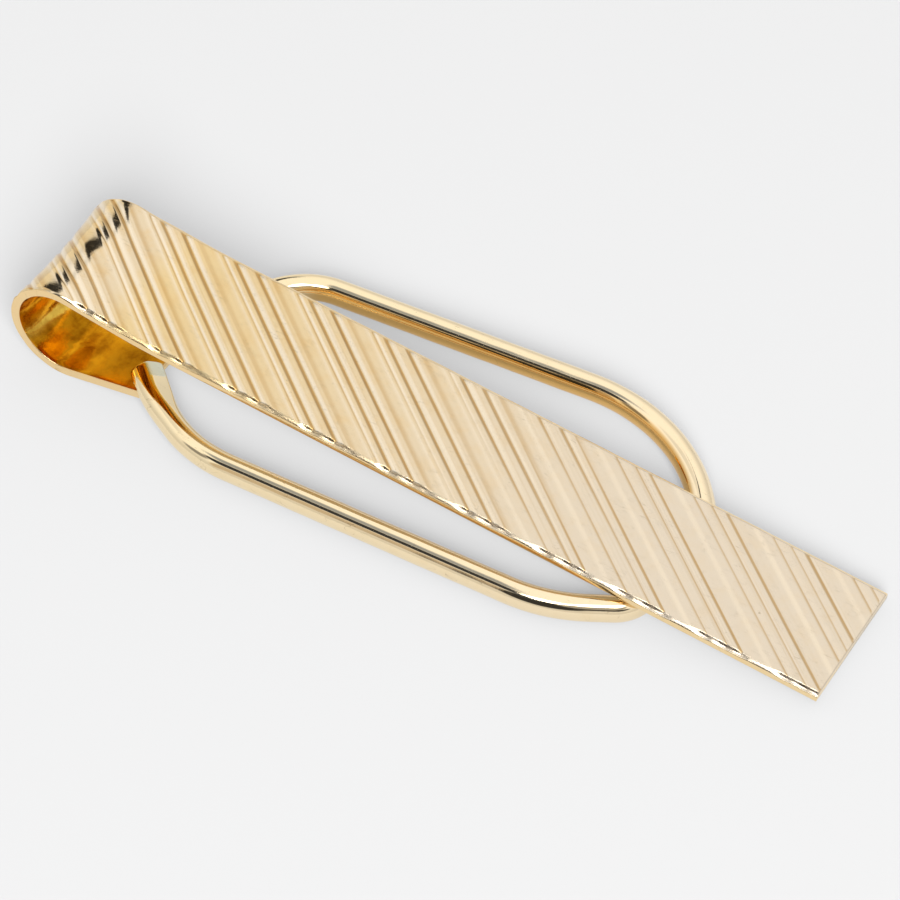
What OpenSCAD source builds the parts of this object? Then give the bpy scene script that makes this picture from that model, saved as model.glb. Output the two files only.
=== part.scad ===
// Spring clip for a tie: a ribbed bar folded over in a bow, with a round wire loop soldered to its tongue.
// It lies as it does on a table: the loop and the bow's lowest line are at height zero, the bar is on top.
// X runs along the bar towards its free end, Y runs across it, Z is up. Sizes are in millimetres.

/* [View] */
// Sub-part to draw on its own

/* [Strip] */
// Width of the strip that the bar, the bow and the tongue are made from
strip_width = 8.75; // [8.4:0.05:9.2]
// Thickness of the strip
strip_thickness = 0.6; // [0.5:0.05:0.65]

/* [Bow] */
// Outer radius of the bow
bow_radius = 3.42; // [3.3:0.02:3.6]
// Length of the rise between the bow's round part and the bar, up to their corner
rise_length = 5; // [4.5:0.1:5.5]
// Slope of that rise in degrees
rise_slope = 10.7; // [9.5:0.1:11.5]
// Radius of the soft bend between the rise and the bar
soft_bend_radius = 30; // [20:1:35]

/* [Bar] */
// Length of the bar from its corner with the rise to the free end
bar_length = 45; // [42:0.5:50]
// Slope of the bar in degrees, down towards its free end
bar_slope = 6; // [5.8:0.1:6.1]
// Width of the bevel on the bar's upper rims
rim_bevel = 0.12; // [0.05:0.01:0.2]

/* [Ribs] */
// Angle between the ribs and the bar's length in degrees
rib_angle = 38.2; // [35:0.1:42]
// Distance from one group of ribs to the next, square to them
rib_pitch = 3.18; // [2.8:0.02:3.6]
// Where the first fine groove crosses the bar's middle, from the bow's outer end
first_groove_reach = 5.25; // [4:0.05:6]
// Width of a fine groove
fine_groove_width = 0.4; // [0.3:0.02:0.5]
// Depth of a fine groove
fine_groove_depth = 0.13; // [0.08:0.01:0.18]
// Place of the second fine groove in one pitch
second_groove_share = 0.29; // [0.25:0.01:0.33]
// Place of the dished band's middle in one pitch
dish_middle_share = 0.68; // [0.65:0.01:0.7]
// Width of the dished band
dish_width = 1.66; // [1.4:0.02:1.8]
// Depth of the dished band
dish_depth = 0.06; // [0.03:0.01:0.09]

/* [Tongue] */
// Length of the flat tongue beyond the bow
tongue_length = 5.1; // [4.9:0.02:5.2]
// Slope of the tongue in degrees, up towards its end
tongue_slope = 8.9; // [8:0.1:9.4]

/* [Wire loop] */
// Diameter of the wire
wire_diameter = 1.6; // [1.5:0.02:1.64]
// Slope of the loop in degrees, down towards its rounded tip
loop_slope = 0.7; // [0.5:0.05:0.9]
// Distance of the wire's two ends from the bow's outer end
wire_end_reach = 8.3; // [8.1:0.02:8.5]
// Near wire end, across the bar
near_end_side = -2.3; // [-2.5:0.02:-2.1]
// Far wire end, across the bar
far_end_side = 2.3; // [2.1:0.02:2.5]
// Near shoulder, along the bar
near_shoulder_reach = 12.95; // [12.7:0.02:13.2]
// Near shoulder, across the bar
near_shoulder_side = -6.6; // [-6.8:0.02:-6.4]
// Near corner of the rounded end, along the bar
near_corner_reach = 37.34; // [36.8:0.02:37.6]
// Near corner of the rounded end, across the bar
near_corner_side = -6.17; // [-6.3:0.01:-6.1]
// Near end of the tip, along the bar
near_tip_reach = 41.8; // [41.6:0.02:42]
// Near end of the tip, across the bar
near_tip_side = -3.79; // [-4:0.01:-3.6]
// Far end of the tip, along the bar
far_tip_reach = 41.93; // [41.8:0.01:42.1]
// Far end of the tip, across the bar
far_tip_side = 4.26; // [4.1:0.02:4.4]
// Far corner of the rounded end, along the bar
far_corner_reach = 37.55; // [37.3:0.01:37.8]
// Far corner of the rounded end, across the bar
far_corner_side = 10.26; // [10.1:0.02:10.4]
// Far shoulder, along the bar
far_shoulder_reach = 12.5; // [12.2:0.01:12.8]
// Far shoulder, across the bar
far_shoulder_side = 8.55; // [8.4:0.01:8.7]
// Bend radius at the near shoulder
near_shoulder_radius = 8.7; // [7.5:0.1:9.5]
// Bend radius at the far shoulder
far_shoulder_radius = 4.4; // [3.8:0.1:5]
// Bend radius at the near corner of the rounded end
near_corner_radius = 10.1; // [9:0.1:11]
// Bend radius at the far corner of the rounded end
far_corner_radius = 11.2; // [10:0.1:11.4]
// Bend radius at the near end of the tip
near_tip_radius = 2.1; // [1.6:0.1:2.6]
// Bend radius at the far end of the tip
far_tip_radius = 3; // [2.4:0.1:3.2]
// Height of the wire's flattened ends above the tongue
lap_height = 0.42; // [0.35:0.01:0.48]

/* [Solder] */
// Width of each solder joint at its foot
solder_foot_width = 2.5; // [2.1:0.05:2.6]
// Width of each solder joint at its top
solder_top_width = 1.7; // [1.65:0.05:1.8]
// Height of each solder joint above the tongue
solder_height = 0.24; // [0.14:0.01:0.28]
// Length of each solder joint, along the wire
solder_length = 1.5; // [1.2:0.05:1.6]
// How far each solder joint reaches past the wire's end
solder_lead = 0.25; // [0.15:0.01:0.3]

/* [Hidden] */
$fn = 96;
gold = [0.86, 0.7, 0.42];
polished_gold = [0.9, 0.75, 0.48];
solder_gold = [0.82, 0.74, 0.55];
// small overrun that lets a cutting shape pass the face it cuts
overrun_share = 0.35;
overrun = overrun_share * strip_thickness;
half_thickness = strip_thickness / 2;
half_width = strip_width / 2;
wire_radius = wire_diameter / 2;
// the loop's bends are a hair thicker than its straight runs, which reach a little way into them
bend_swell_share = 0.015;
bend_wire_radius = (1 + bend_swell_share) * wire_radius;
run_bite_share = 0.05;
run_bite = run_bite_share * wire_radius;
// middle of the bow, and the strip's middle surface around it, as [along, up]
bow_middle = [bow_radius, bow_radius];
bow_surface_radius = bow_radius - half_thickness;
rise_start = bow_middle + bow_surface_radius * [sin(rise_slope), cos(rise_slope)];
rise_corner = rise_start + rise_length * [cos(rise_slope), -sin(rise_slope)];
soft_bend_trim = soft_bend_radius * tan((rise_slope - bar_slope) / 2);
bar_run = [cos(bar_slope), -sin(bar_slope)];
bar_lift = [sin(bar_slope), cos(bar_slope)];
bar_start = rise_corner + soft_bend_trim * bar_run;
soft_bend_middle = bar_start + soft_bend_radius * bar_lift;
bar_end = rise_corner + bar_length * bar_run;
tongue_start = bow_middle + bow_surface_radius * [sin(tongue_slope), -cos(tongue_slope)];
tongue_end = tongue_start + tongue_length * [cos(tongue_slope), sin(tongue_slope)];
// ribs, counted along the bar's own length
bar_start_reach = rise_corner[0] / cos(bar_slope) + soft_bend_trim;
bar_span = bar_length - soft_bend_trim;
pitch_reach = rib_pitch / sin(rib_angle);
rib_length = 2 * strip_width / sin(rib_angle);
rib_count = ceil((bar_start_reach + bar_span + strip_width / tan(rib_angle)) / pitch_reach);
dish_radius = (dish_width * dish_width / 4 + dish_depth * dish_depth) / (2 * dish_depth);
// the loop's corners in turn, anticlockwise from above, and the bend radius at each
loop_points = [
    [wire_end_reach, near_end_side],
    [near_shoulder_reach, near_shoulder_side],
    [near_corner_reach, near_corner_side],
    [near_tip_reach, near_tip_side],
    [far_tip_reach, far_tip_side],
    [far_corner_reach, far_corner_side],
    [far_shoulder_reach, far_shoulder_side],
    [wire_end_reach, far_end_side]
];
loop_radii = [
    0,
    near_shoulder_radius,
    near_corner_radius,
    near_tip_radius,
    far_tip_radius,
    far_corner_radius,
    far_shoulder_radius,
    0
];
near_end = 0;
near_shoulder = 1;
far_tip = 4;
far_corner = 5;
far_shoulder = 6;
far_end = 7;

function heading(a, b) = atan2(b[1] - a[1], b[0] - a[0]);
function way_in(i) = heading(loop_points[i - 1], loop_points[i]);
function way_out(i) = heading(loop_points[i], loop_points[i + 1]);
function turn(i) = (way_out(i) - way_in(i) + 720) % 360;
function trim(i) = i == near_end || i == far_end ? 0 : loop_radii[i] * tan(turn(i) / 2);
function way(angle) = [cos(angle), sin(angle)];
function bend_start(i) = loop_points[i] - trim(i) * way(way_in(i));
function bend_end(i) = i == near_end ? loop_points[i] : loop_points[i] + trim(i) * way(way_out(i));
function bend_middle(i) = bend_start(i) + loop_radii[i] * [-sin(way_in(i)), cos(way_in(i))];

// the part's outer box, so that the origin is in the middle of its lowest face
near_limit = bend_middle(near_shoulder)[1] - near_shoulder_radius - bend_wire_radius;
far_limit = bend_middle(far_corner)[1] + far_corner_radius + bend_wire_radius;
tip_limit = bend_middle(far_tip)[0] + far_tip_radius;
end_limit = bar_end[0] + half_thickness * bar_lift[0];
box_middle = [end_limit / 2, (near_limit + far_limit) / 2];

module placed() {
    translate([-box_middle[0], -box_middle[1], 0])
        children();
}

// a curved piece of strip: its middle [along, up], inner radius, first angle and sweep
module strip_bend(middle, inner_radius, first_angle, sweep) {
    translate([middle[0], 0, middle[1]])
        rotate([90, 0, 0])
            rotate([0, 0, first_angle])
                rotate_extrude(angle = sweep)
                    translate([inner_radius, -half_width])
                        square([strip_thickness, strip_width]);
}

// a straight piece of strip from a point [along, up] on its middle surface, sloping down by an angle
module strip_run(start, slope, run_length) {
    translate([start[0], 0, start[1]])
        rotate([0, slope, 0])
            translate([0, -half_width, -half_thickness])
                cube([run_length, strip_width, strip_thickness]);
}

// everything below is drawn along the rib's own direction, across the bar's top
module along_rib(reach) {
    translate([reach, 0, half_thickness])
        rotate([0, 0, -rib_angle])
            children();
}

module fine_groove(reach) {
    steepness = fine_groove_width / 2 / fine_groove_depth;
    along_rib(reach)
        translate([-rib_length / 2, 0, 0])
            rotate([90, 0, 90])
                linear_extrude(height = rib_length)
                    polygon([
                        [0, -fine_groove_depth],
                        [steepness * (fine_groove_depth + overrun), overrun],
                        [-steepness * (fine_groove_depth + overrun), overrun]
                    ]);
}

module dished_band(reach) {
    along_rib(reach)
        translate([0, 0, dish_radius - dish_depth])
            rotate([0, 90, 0])
                cylinder(h = rib_length, r = dish_radius, center = true);
}

module bar_blank() {
    rotate([90, 0, 90])
        linear_extrude(height = bar_span)
            polygon([
                [-half_width, -half_thickness],
                [half_width, -half_thickness],
                [half_width, half_thickness - rim_bevel],
                [half_width - rim_bevel, half_thickness],
                [-half_width + rim_bevel, half_thickness],
                [-half_width, half_thickness - rim_bevel]
            ]);
}

module front_bar() {
    color(gold)
        placed()
            translate([bar_start[0], 0, bar_start[1]])
                rotate([0, bar_slope, 0])
                    difference() {
                        bar_blank();
                        for (k = [0 : rib_count]) {
                            group_reach = first_groove_reach + k * pitch_reach - bar_start_reach;
                            fine_groove(group_reach);
                            fine_groove(group_reach + second_groove_share * pitch_reach);
                            dished_band(group_reach + dish_middle_share * pitch_reach);
                        }
                    }
}

module spring_bow() {
    color(gold)
        placed()
            union() {
                strip_bend(
                    bow_middle,
                    bow_radius - strip_thickness,
                    90 - rise_slope,
                    180 + rise_slope + tongue_slope
                );
                strip_run(rise_start, rise_slope, rise_length - soft_bend_trim);
                strip_bend(
                    soft_bend_middle,
                    soft_bend_radius - half_thickness,
                    270 - rise_slope,
                    rise_slope - bar_slope
                );
            }
}

module back_tongue() {
    color(gold)
        placed()
            strip_run(tongue_start, -tongue_slope, tongue_length);
}

// the round wire's bends and straight runs, lying flat at height zero
module loop_wire() {
    $fn = 60;
    for (i = [near_shoulder : far_shoulder])
        translate(bend_middle(i))
            rotate([0, 0, way_in(i) - 90])
                rotate_extrude(angle = turn(i))
                    translate([loop_radii[i], 0])
                        circle(r = bend_wire_radius);
    for (i = [near_end : far_shoulder])
        translate(bend_end(i))
            rotate([0, 90, way_out(i)])
                translate([0, 0, -run_bite])
                    cylinder(h = norm(bend_start(i + 1) - bend_end(i)) + 2 * run_bite, r = wire_radius);
}

// the tongue's own frame: its upper face at its end, as the place where the wire lies on it
module on_tongue() {
    translate([tongue_end[0], 0, tongue_end[1]])
        rotate([0, -tongue_slope, 0])
            translate([0, 0, half_thickness])
                children();
}

// the round wire, flattened where its two ends lie on the tongue
module loop_shape() {
    difference() {
        translate([tip_limit, 0, bend_wire_radius])
            rotate([0, loop_slope, 0])
                translate([-tip_limit, 0, 0])
                    loop_wire();
        on_tongue()
            translate([-tongue_length, -half_width, -wire_diameter])
                cube([tongue_length, strip_width, wire_diameter]);
        on_tongue()
            translate([-tongue_length, -half_width, lap_height])
                cube([tongue_length, strip_width, wire_diameter]);
    }
}

module wire_loop() {
    color(polished_gold)
        placed()
            loop_shape();
}

// a low bank of solder along one wire end, with the way that the wire runs from it
module solder_joint(side, angle) {
    color(solder_gold)
        placed()
            difference() {
                on_tongue()
                    intersection() {
                        translate([wire_end_reach - tongue_end[0], side, 0])
                            rotate([0, 0, angle])
                                translate([-solder_lead, 0, 0])
                                    rotate([90, 0, 90])
                                        linear_extrude(height = solder_length + solder_lead)
                                            polygon([
                                                [-solder_foot_width / 2, 0],
                                                [solder_foot_width / 2, 0],
                                                [solder_top_width / 2, solder_height],
                                                [-solder_top_width / 2, solder_height]
                                            ]);
                        translate([-tongue_length, -half_width, 0])
                            cube([tongue_length, strip_width, wire_radius]);
                    }
                loop_shape();
            }
}

module near_solder_joint() {
    solder_joint(near_end_side, way_out(near_end));
}

module far_solder_joint() {
    solder_joint(far_end_side, way_in(far_end) + 180);
}

front_bar();
spring_bow();
back_tongue();
wire_loop();
near_solder_joint();
far_solder_joint();
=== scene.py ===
"""Looks of a gold tie clip: a ribbed strip folded over in a bow, and a wire loop soldered to its tongue.

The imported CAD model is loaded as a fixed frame, and each visible piece is a surface worked out with numpy.
Sizes are in millimetres until a mesh is made. Along, across and up are counted from the bow's outer end, the
strip's middle line and the table, as on the drawing board, and BENCH turns them into the frame's metres.
"""

from __future__ import annotations

import logging
import math
from dataclasses import dataclass, field
from enum import Enum

import bpy
import numpy as np
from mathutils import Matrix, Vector


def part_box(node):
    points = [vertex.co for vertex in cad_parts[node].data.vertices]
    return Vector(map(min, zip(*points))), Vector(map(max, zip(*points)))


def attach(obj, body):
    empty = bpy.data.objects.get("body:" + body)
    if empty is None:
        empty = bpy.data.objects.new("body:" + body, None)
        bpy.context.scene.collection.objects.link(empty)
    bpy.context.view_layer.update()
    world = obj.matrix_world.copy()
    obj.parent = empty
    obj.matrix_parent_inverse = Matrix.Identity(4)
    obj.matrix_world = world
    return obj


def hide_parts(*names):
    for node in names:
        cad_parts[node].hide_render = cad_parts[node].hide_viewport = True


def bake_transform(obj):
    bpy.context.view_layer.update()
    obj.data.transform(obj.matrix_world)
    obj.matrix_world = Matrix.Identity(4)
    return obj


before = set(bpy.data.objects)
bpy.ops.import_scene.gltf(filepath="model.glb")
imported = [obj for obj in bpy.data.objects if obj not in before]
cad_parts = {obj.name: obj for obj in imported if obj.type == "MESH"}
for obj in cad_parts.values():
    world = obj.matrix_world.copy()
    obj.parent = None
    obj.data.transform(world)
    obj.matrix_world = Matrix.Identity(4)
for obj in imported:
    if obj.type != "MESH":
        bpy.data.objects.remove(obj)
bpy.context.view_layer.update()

LOG = logging.getLogger("tie_clip")
MM = 0.001
WELD_MM = 1e-5
Colour = Place = Wave = tuple[float, float, float]
Span = tuple[float, float]
Material, NodeTree, Socket = bpy.types.Material, bpy.types.NodeTree, bpy.types.NodeSocket


class Zone(Enum):
    """The faces of the strip, in the order of its material slots."""

    OUTSIDE = 0
    INSIDE = 1
    EDGE = 2


# Meshes


@dataclass(frozen=True)
class Bench:
    """Places in millimetres on the drawing board, and how they lie in the frame."""

    origin: Place

    @classmethod
    def from_frame(cls) -> "Bench":
        """Reads the board's zero from the frame: the bow's outer end, the strip's middle and the table."""
        low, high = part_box("spring_bow")
        return cls((low.x / MM, (low.y + high.y) / 2 / MM, low.z / MM))

    def metres(self, points: np.ndarray) -> np.ndarray:
        """Moves points, one row each, from the board's millimetres into the frame's metres."""
        return (points + np.array(self.origin)) * MM


BENCH = Bench.from_frame()


@dataclass
class Sheet:
    """A mesh as arrays: points, faces of three or more corners, and a value set for each point."""

    points: np.ndarray
    faces: list[np.ndarray]
    zones: list[np.ndarray]
    values: dict[str, np.ndarray] = field(default_factory=dict)

    def welded(self) -> "Sheet":
        """Joins points that share a place, so that quads with a collapsed side become triangles.

        Returns:
            The welded sheet.
        """
        keys = np.round(self.points / WELD_MM).astype(np.int64)
        _, first, back = np.unique(keys, axis=0, return_index=True, return_inverse=True)
        back = back.reshape(-1)
        faces, zones = [], []
        for group, zone in zip(self.faces, self.zones):
            corners = back[group]
            same = corners == np.roll(corners, -1, axis=1)
            dropped = same.sum(axis=1)
            faces.append(corners[dropped == 0])
            zones.append(zone[dropped == 0])
            if group.shape[1] == 4:
                once = dropped == 1
                faces.append(corners[once][~same[once]].reshape(-1, 3))
                zones.append(zone[once])
        return Sheet(self.points[first], faces, zones, {k: v[first] for k, v in self.values.items()})


def mesh_object(name: str, sheet: Sheet, *finishes: Material) -> bpy.types.Object:
    """Makes a smooth-shaded object at the origin from a sheet.

    Args:
        name: The piece's name.
        sheet: Its surface in millimetres.
        finishes: The materials, in the order of the sheet's zones.

    Returns:
        The object, linked to the scene.
    """
    mesh = bpy.data.meshes.new(name)
    corners = np.concatenate([group.reshape(-1) for group in sheet.faces]).astype(np.int32)
    sizes = np.concatenate([np.full(len(group), group.shape[1]) for group in sheet.faces]).astype(np.int32)
    starts = np.concatenate([[0], np.cumsum(sizes)[:-1]]).astype(np.int32)
    mesh.vertices.add(len(sheet.points))
    mesh.vertices.foreach_set("co", BENCH.metres(sheet.points).astype(np.float32).reshape(-1))
    mesh.loops.add(len(corners))
    mesh.loops.foreach_set("vertex_index", corners)
    mesh.polygons.add(len(sizes))
    mesh.polygons.foreach_set("loop_start", starts)
    mesh.polygons.foreach_set("material_index", np.concatenate(sheet.zones).astype(np.int32))
    mesh.polygons.foreach_set("use_smooth", np.ones(len(sizes), bool))
    mesh.update(calc_edges=True)
    mesh.validate()
    for key, value in sheet.values.items():
        mesh.attributes.new(key, "FLOAT", "POINT").data.foreach_set("value", value.astype(np.float32))
    for finish in finishes:
        mesh.materials.append(finish)
    piece = bpy.data.objects.new(name, mesh)
    bpy.context.scene.collection.objects.link(piece)
    LOG.info("%s: %d points, %d faces", name, len(sheet.points), len(sizes))
    return piece


def grid_faces(rings: int, rows: int) -> np.ndarray:
    """Quads between closed rings that follow one another, with faces outwards for rings that run clockwise.

    Args:
        rings: The number of rings.
        rows: The number of points in each.

    Returns:
        One row of four point numbers for each quad.
    """
    i = np.arange(rings - 1)[:, None]
    k = np.arange(rows)[None, :]
    here, beside = i * rows + k, i * rows + (k + 1) % rows
    return np.stack([here, here + rows, beside + rows, beside], axis=-1).reshape(-1, 4)


def tube_faces(rings: int, rows: int) -> list[np.ndarray]:
    """Faces of a closed tube: the quads between its rings, and one face over each end.

    Args:
        rings: The number of rings.
        rows: The number of points in each.

    Returns:
        The quads, the first end and the last end.
    """
    ring = np.arange(rows)
    return [grid_faces(rings, rows), ring[None, :], (ring[::-1] + (rings - 1) * rows)[None, :]]


def smooth_step(value: np.ndarray | float, low: float, high: float) -> np.ndarray:
    """Goes from 0 at low to 1 at high, which may be below low, as 3t^2 - 2t^3."""
    t = np.clip((np.asarray(value, float) - low) / (high - low), 0, 1)
    return t * t * (3 - 2 * t)


def soft_limit(value: np.ndarray, limit: np.ndarray | float, width: float) -> np.ndarray:
    """The lesser of value and limit, with a rounded corner: m + (v - m - sqrt((v - m)^2 + w^2))/2."""
    gap = value - limit
    return limit + (gap - np.sqrt(gap * gap + width * width)) / 2


# The ribbed strip


@dataclass(frozen=True)
class Groove:
    """One groove of the rolled pattern: a steep left wall, and a right one that runs out gently.

    It has one strength at the bow and another at the bar's end, and the turn is where they change. The slide
    is how far, in pitches, it has moved towards its neighbours at the bar's end.
    """

    share: float
    left: float
    right: float
    depth: float
    bow_strength: float = 1.0
    tip_strength: float = 1.0
    turn: Span = (23.0, 42.0)
    slide: float = 0.0


@dataclass(frozen=True)
class Ribs:
    """The rolled pattern of the strip's outer face, once a pitch: grooves, crowns and a wide dish."""

    angle: float = 38.2
    pitch: float = 3.202
    first_reach: float = 5.26
    grooves: tuple[Groove, ...] = (
        Groove(0.02, 0.2, 0.58, 0.085, 1.0, 0.3, (25.0, 37.0), -0.015),
        Groove(0.312, 0.2, 0.52, 0.09, 1.0, 0.26, (18.0, 44.0), -0.08),
        Groove(0.49, 0.2, 0.55, 0.06, 0.0, 0.72, (30.0, 46.0), -0.055),
        Groove(0.83, 0.18, 0.26, 0.03, 1.0, 0.0, (20.0, 36.0)),
    )
    slide_reach: Span = (36.0, 48.0)
    wall_line_shares: tuple[float, ...] = (1.3, 1.05, 0.8, 0.5, 0.2)
    rise_line_shares: tuple[float, ...] = (0.0, 0.06, 0.14, 0.26, 0.42, 0.62)
    dish_line_shares: Span = (0.53, 0.79)
    dish_lines: int = 7
    crown_line_shares: Span = (0.25, 0.955)
    least_line_gap: float = 0.019
    dish_share: float = 0.64
    dish_half: float = 0.56
    dish_depth: float = 0.02
    unevenness: float = 0.14
    groove_wander: Span = (3.7, 0.5)
    groove_wander_step: float = 2.1
    dish_wander: Span = (2.4, 0.35)
    dish_wander_start: float = 1.1
    rim_grooves: int = 3
    swell: float = 1.5
    swell_width: float = 0.33
    swell_floor: float = 0.7
    # The fields below set the painted shade and highlight on the pattern: by its slope, across each dish, in
    # a thin line at each groove's bottom and in a darker band past it.
    tone_step: float = 0.05
    tone_lag: float = 0.06
    tone_slope: float = 0.2
    slope_tone: float = 0.4
    dish_tone: float = 0.14
    dish_wave: float = 1.2
    dish_fall: float = 0.8
    dark_depth: float = 0.06
    line_tone: float = 0.3
    line_width: float = 0.035
    shade_band_tone: float = 0.1
    shade_band_place: float = 0.6
    shade_band_width: float = 0.24

    @property
    def slant(self) -> float:
        """How far a rib runs along the strip for each millimetre across it."""
        return 1 / math.tan(math.radians(self.angle))

    @property
    def pitch_reach(self) -> float:
        """The pitch, counted along the strip."""
        return self.pitch / math.sin(math.radians(self.angle))

    def columns(self, low: float, high: float) -> np.ndarray:
        """Places along the strip for the mesh's slanted lines: close in the grooves, wider in the dish.

        Args:
            low: The first place that is needed.
            high: The last one.

        Returns:
            The places at the strip's middle line, in rising order.
        """
        turns = np.arange(math.floor((low - self.first_reach) / self.pitch_reach) - 1,
                          math.ceil((high - self.first_reach) / self.pitch_reach) + 2)
        dish = np.linspace(*self.dish_line_shares, self.dish_lines)
        runs = [(np.concatenate([dish, self.crown_line_shares]), 0.0)]
        for groove in self.grooves:
            wall = groove.left * np.array(self.wall_line_shares)
            rise = groove.right * np.array(self.rise_line_shares)
            runs.append((groove.share + np.concatenate([-wall, rise]) / self.pitch, groove.slide))
        places = []
        for shares, slide in runs:
            place = self.first_reach + (turns[:, None] + shares[None, :]) * self.pitch_reach
            moved = slide * self.pitch_reach * smooth_step(place, *self.slide_reach)
            places.append((place + moved).reshape(-1))
        reach = np.sort(np.concatenate(places))
        reach = reach[np.concatenate([[True], np.diff(reach) > self.least_line_gap])]
        return reach[(reach >= low) & (reach <= high)]

    def turns(self, reach: np.ndarray, side: np.ndarray) -> np.ndarray:
        """How many pitches a place lies past the pattern's first rib."""
        return (reach + side * self.slant - self.first_reach) / self.pitch_reach

    def wander(self, row: np.ndarray, side: np.ndarray, rates: Span, start: float) -> np.ndarray:
        """A strength near 1 that changes from rib to rib and slowly along each: 1 + u sin(ar + bs + c)."""
        return 1 + self.unevenness * np.sin(rates[0] * row + rates[1] * side + start)

    def from_groove(self, number: int, reach: np.ndarray, side: np.ndarray) -> tuple[np.ndarray, np.ndarray]:
        """How far places lie from the nearest groove of a kind, square to it, and how strong that groove is.

        Args:
            number: The groove's number in the pattern.
            reach: Places along the strip.
            side: Places across it.

        Returns:
            Distances in millimetres, and strengths that wander a little from groove to groove.
        """
        groove = self.grooves[number]
        slid = groove.slide * smooth_step(reach + side * self.slant, *self.slide_reach)
        phase = self.turns(reach, side) - groove.share - slid
        row = np.floor(phase + 0.5)
        uneven = self.wander(row, side, self.groove_wander, self.groove_wander_step * number)
        tip = smooth_step(reach, *groove.turn)
        strength = uneven * (groove.bow_strength + (groove.tip_strength - groove.bow_strength) * tip)
        return (phase - row) * self.pitch, strength

    def from_dish(self, reach: np.ndarray, side: np.ndarray) -> tuple[np.ndarray, np.ndarray]:
        """How far places lie from the nearest dish's middle, square to it, and that dish's number."""
        phase = self.turns(reach, side) - self.dish_share + 0.5
        return (phase % 1 - 0.5) * self.pitch, np.floor(phase)

    def depth(self, reach: np.ndarray, side: np.ndarray) -> np.ndarray:
        """How far the pattern lies below the strip's outer face, in millimetres.

        A groove is d(1 - |w|/l) on its left wall and d(1 - w/r)^2 on its right one, and the dish is
        D(1 - (w/H)^2)^1.5, where w is counted square to the ribs.

        Args:
            reach: Places along the strip.
            side: Places across it.

        Returns:
            The depth, 0 or more.
        """
        total = np.zeros(np.broadcast_shapes(reach.shape, side.shape))
        for number, groove in enumerate(self.grooves):
            w, strength = self.from_groove(number, reach, side)
            wall = np.clip(1 + w / groove.left, 0, 1)
            rise = np.clip(1 - w / groove.right, 0, 1) ** 2
            total = np.maximum(total, groove.depth * strength * np.where(w < 0, wall, rise))
        w, row = self.from_dish(reach, side)
        wander = self.wander(row, side, self.dish_wander, self.dish_wander_start)
        return total + self.dish_depth * wander * np.clip(1 - (w / self.dish_half) ** 2, 0, 1) ** 1.5

    def rim_depth(self, reach: np.ndarray, side: np.ndarray) -> np.ndarray:
        """How far the pattern lies below a rim that was tumbled smooth: soft hollows d exp(-(w/s)^2).

        Args:
            reach: Places along the strip.
            side: Places across it.

        Returns:
            The depth, 0 or more.
        """
        total = np.zeros(np.broadcast_shapes(reach.shape, side.shape))
        for number, groove in enumerate(self.grooves[:self.rim_grooves]):
            w, strength = self.from_groove(number, reach, side)
            kept = self.swell_floor + (1 - self.swell_floor) * strength
            total = total + self.swell * groove.depth * kept * np.exp(-((w / self.swell_width) ** 2))
        return total

    def tone(self, reach: np.ndarray, side: np.ndarray) -> np.ndarray:
        """Painted shade and highlight by the pattern's lean: 1/2 - T tanh(slope/s), low (painted shade)
        on left walls and high (painted highlight) on right ones.

        The dish adds T sin(pi w/a) exp(-(w/b)^2): painted shade on its left side, painted highlight on its
        right.
        Each groove takes off a thin line exp(-(w/l)^2) of painted shade at its bottom, and a soft band
        exp(-((w - p)/g)^2) of painted shade past it.

        Args:
            reach: Places along the strip.
            side: Places across it.

        Returns:
            The lean, between 0 and 1.
        """
        stretch = self.pitch_reach / self.pitch
        ahead = self.depth(reach + (self.tone_step - self.tone_lag) * stretch, side)
        behind = self.depth(reach - (self.tone_step + self.tone_lag) * stretch, side)
        w, _ = self.from_dish(reach, side)
        dish = np.sin(math.pi * w / self.dish_wave) * np.exp(-((w / self.dish_fall) ** 2))
        slope = (ahead - behind) / (2 * self.tone_step)
        tone = 0.5 + self.dish_tone * dish - self.slope_tone * np.tanh(slope / self.tone_slope)
        for number, groove in enumerate(self.grooves):
            w, strength = self.from_groove(number, reach, side)
            dark = np.minimum(strength * groove.depth / self.dark_depth, 1)
            shade_band = np.exp(-(((w - self.shade_band_place) / self.shade_band_width) ** 2))
            # Painted shade: a thin dark line at each groove's bottom and a darker band just past it.
            tone = tone - self.line_tone * np.sqrt(dark) * np.exp(-((w / self.line_width) ** 2))
            tone = tone - self.shade_band_tone * dark ** 2 * shade_band
        return np.clip(tone, 0, 1)


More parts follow.
